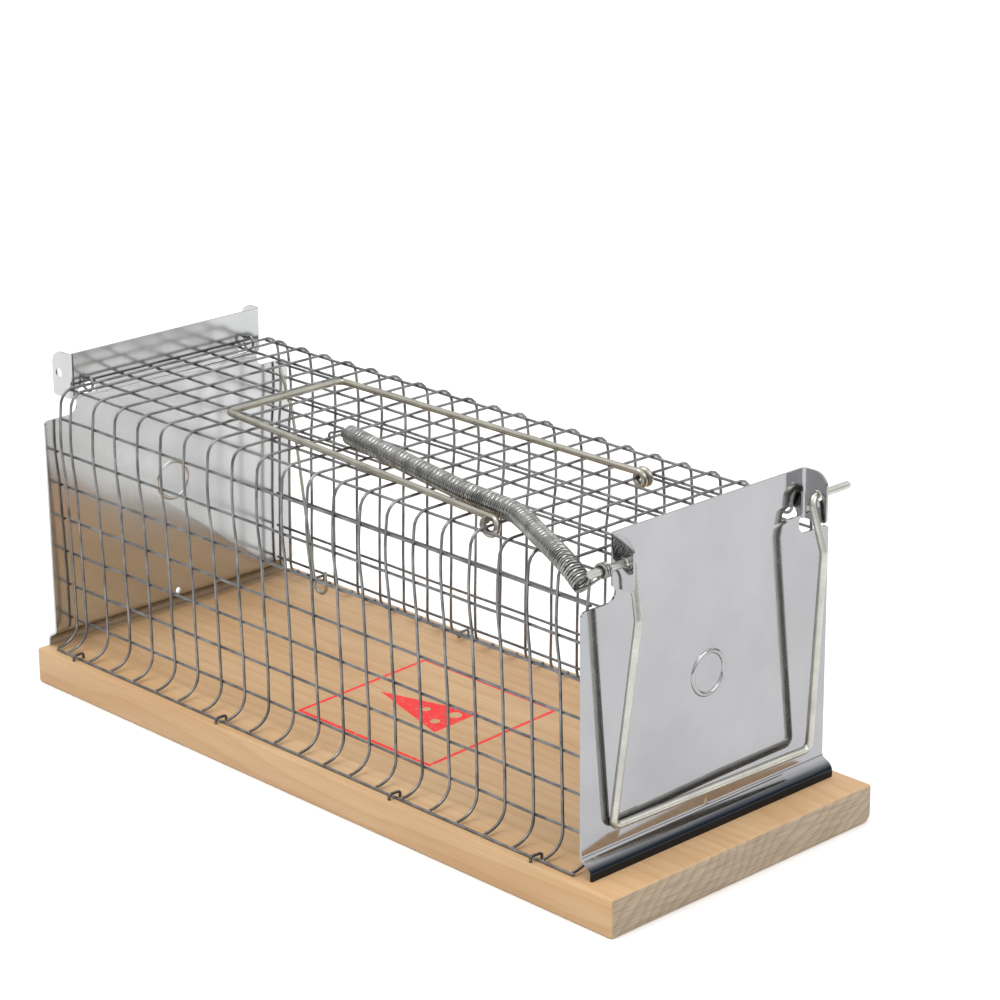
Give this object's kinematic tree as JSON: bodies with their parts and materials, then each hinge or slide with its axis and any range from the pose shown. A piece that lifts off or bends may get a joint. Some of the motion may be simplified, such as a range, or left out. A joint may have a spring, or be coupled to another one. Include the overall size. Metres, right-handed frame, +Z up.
{
  "type": "live catch trap",
  "caption": "Live catch trap for mice and small rats: a wire mesh tunnel on a wooden board, with a sprung drop door and a baited release frame.",
  "frame": {"origin": "centre of the wooden board's underside", "axes": "+X along the board towards the sprung drop door, +Y across to the right-hand side seen from that door's back, +Z up"},
  "size_m": [0.2918, 0.12, 0.1205],
  "materials": {
    "pine": "bare planed pine",
    "galvanised_wire": "galvanised",
    "galvanised_sheet": "bright galvanised",
    "bright_wire": "bright drawn wire",
    "spring_steel": "bright",
    "staple_steel": "bright"
  },
  "bodies": {
    "cage": {"base_board": "pine", "cage_mesh_top": "galvanised_wire", "cage_mesh_left": "galvanised_wire", "cage_mesh_right": "galvanised_wire", "bail_spring": "spring_steel", "spring_rear_hook": "spring_steel", "staple_left_1": "staple_steel", "staple_left_2": "staple_steel", "staple_left_3": "staple_steel", "staple_left_4": "staple_steel", "staple_right_1": "staple_steel", "staple_right_2": "staple_steel", "staple_right_3": "staple_steel", "staple_right_4": "staple_steel"},
    "front_door": {"front_door": "galvanised_sheet", "front_door_ring_left": "galvanised_wire", "front_door_ring_right": "galvanised_wire"},
    "closing_bail": {"closing_bail": "bright_wire", "spring_end_coil": "spring_steel"},
    "rear_door": {"rear_door": "galvanised_sheet", "rear_door_ring_left": "galvanised_wire", "rear_door_ring_right": "galvanised_wire"},
    "trigger_frame": {"trigger_frame": "bright_wire"},
    "bait_hook": {"bait_hook": "bright_wire"}
  },
  "joints": [
    {"name": "front_hinge", "type": "hinge", "parent": "cage", "child": "front_door", "pos_m": [0.1239, 0, 0.1085], "axis": [0, -1, 0], "range_deg": [0, 90]},
    {"name": "bail_hinge", "type": "hinge", "parent": "front_door", "child": "closing_bail", "pos_m": [0.1322, 0, 0.1125], "axis": [0, -1, 0], "range_deg": [0, 165], "stiffness_Nm_per_rad": 0.02, "springref_deg": -34.38},
    {"name": "rear_hinge", "type": "hinge", "parent": "cage", "child": "rear_door", "pos_m": [-0.1359, 0, 0.1085], "axis": [0, 1, 0], "range_deg": [0, 90]},
    {"name": "frame_hinge", "type": "hinge", "parent": "cage", "child": "trigger_frame", "pos_m": [0.0731, 0, 0.1085], "axis": [0, 1, 0], "range_deg": [0, 90]},
    {"name": "hook_hinge", "type": "hinge", "parent": "trigger_frame", "child": "bait_hook", "pos_m": [-0.07, 0, 0.11095], "axis": [0, -1, 0], "range_deg": [0, 25]}
  ]
}
